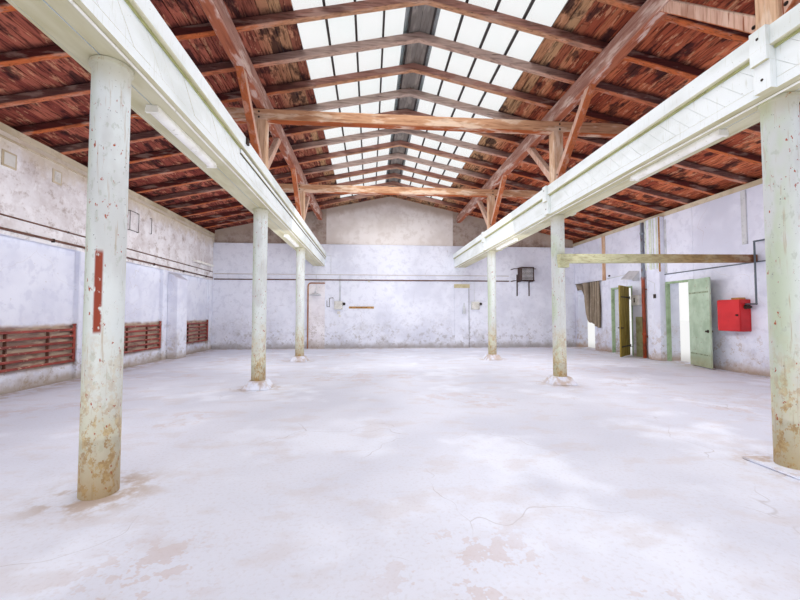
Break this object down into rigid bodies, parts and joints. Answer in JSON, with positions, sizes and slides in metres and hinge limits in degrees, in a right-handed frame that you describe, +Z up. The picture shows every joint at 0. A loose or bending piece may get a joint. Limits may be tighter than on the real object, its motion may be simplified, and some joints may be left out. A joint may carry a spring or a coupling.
{
  "type": "factory building",
  "caption": "Single-storey factory hall with iron columns, boarded timber girders, a low-pitched raftered roof with a skylight along its ridge, heating registers and side doors.",
  "frame": {"origin": "middle of the building's plan, on the ground under the floor slab", "axes": "+Z up, +Y along the hall from the closed front gable to the back gable, +X towards the wall with the doors"},
  "size_m": [17.55, 22.95, 6.9119],
  "materials": {
    "masonry_wall": "painted lime plaster, stained",
    "grey_plaster": "old bare plaster",
    "concrete": "worn and cracked",
    "column_iron": "chipped pale green paint, rust runs",
    "painted_timber": "worn white and olive paint",
    "frame_timber": "weathered, raw",
    "dark_timber": "red-brown stain",
    "roof_board": "red-brown boards, some bare",
    "roof_covering": "mineral surfaced sheet",
    "sheet_metal": "weathered zinc grey",
    "skylight_bar": "dark, weathered",
    "skylight_sheet": "translucent, milky",
    "door_frame": "green paint, worn",
    "door_leaf_olive": "olive yellow paint",
    "door_leaf_green": "pale green paint",
    "rusty_iron": "dark, rusty",
    "red_pipe": "dark red paint",
    "brown_pipe": "brown paint",
    "heater_metal": "dark brown, dusty",
    "fire_red": "gloss red",
    "switch_box": "off-white",
    "curtain_cloth": "grey-brown, dusty",
    "lamp_body": "cream white"
  },
  "bodies": {
    "building": {"floor_slab": "concrete", "left_wall": "masonry_wall", "left_pilasters": "masonry_wall", "right_wall": "masonry_wall", "right_wall_piers": "masonry_wall", "right_wall_over_doors": "masonry_wall", "right_pilaster": "masonry_wall", "right_wall_post": "frame_timber", "back_wall": "masonry_wall", "front_wall": "masonry_wall", "gables": "grey_plaster", "wall_plates": "dark_timber", "columns": "column_iron", "column_plinths": "concrete", "girder_bottom_chords": "painted_timber", "girder_webs": "painted_timber", "girder_top_chords": "painted_timber", "girder_posts": "frame_timber", "tie_beams": "frame_timber", "purlins": "frame_timber", "purlin_braces": "dark_timber", "rafters": "dark_timber", "roof_boards": "roof_board", "roof_covering": "roof_covering", "skylight_bars": "skylight_bar", "skylight_sheets": "skylight_sheet", "ridge_boards": "frame_timber", "ridge_cap": "sheet_metal", "roof_edge_boards": "dark_timber", "door_frames": "door_frame", "door_pintles": "rusty_iron", "pipe_registers": "red_pipe", "wall_pipes": "brown_pipe", "downpipe": "brown_pipe", "air_heater": "heater_metal", "cross_beam": "painted_timber", "fire_cabinet": "fire_red", "switch_boxes": "switch_box", "girder_lamps": "lamp_body", "blocked_door": "painted_timber", "curtain_rail": "rusty_iron", "door_1_curtain": "curtain_cloth"},
    "door_2_leaf": {"door_2_leaf": "door_leaf_olive"},
    "door_3_leaf": {"door_3_leaf": "door_leaf_green"}
  },
  "joints": [
    {"name": "door_2", "type": "hinge", "parent": "building", "child": "door_2_leaf", "pos_m": [7.8737, 7.19, 1.3], "axis": [0, 0, 1], "range_deg": [-130, 30]},
    {"name": "door_3", "type": "hinge", "parent": "building", "child": "door_3_leaf", "pos_m": [7.8737, 4.64, 1.3], "axis": [0, 0, 1], "range_deg": [-164, 11]}
  ]
}
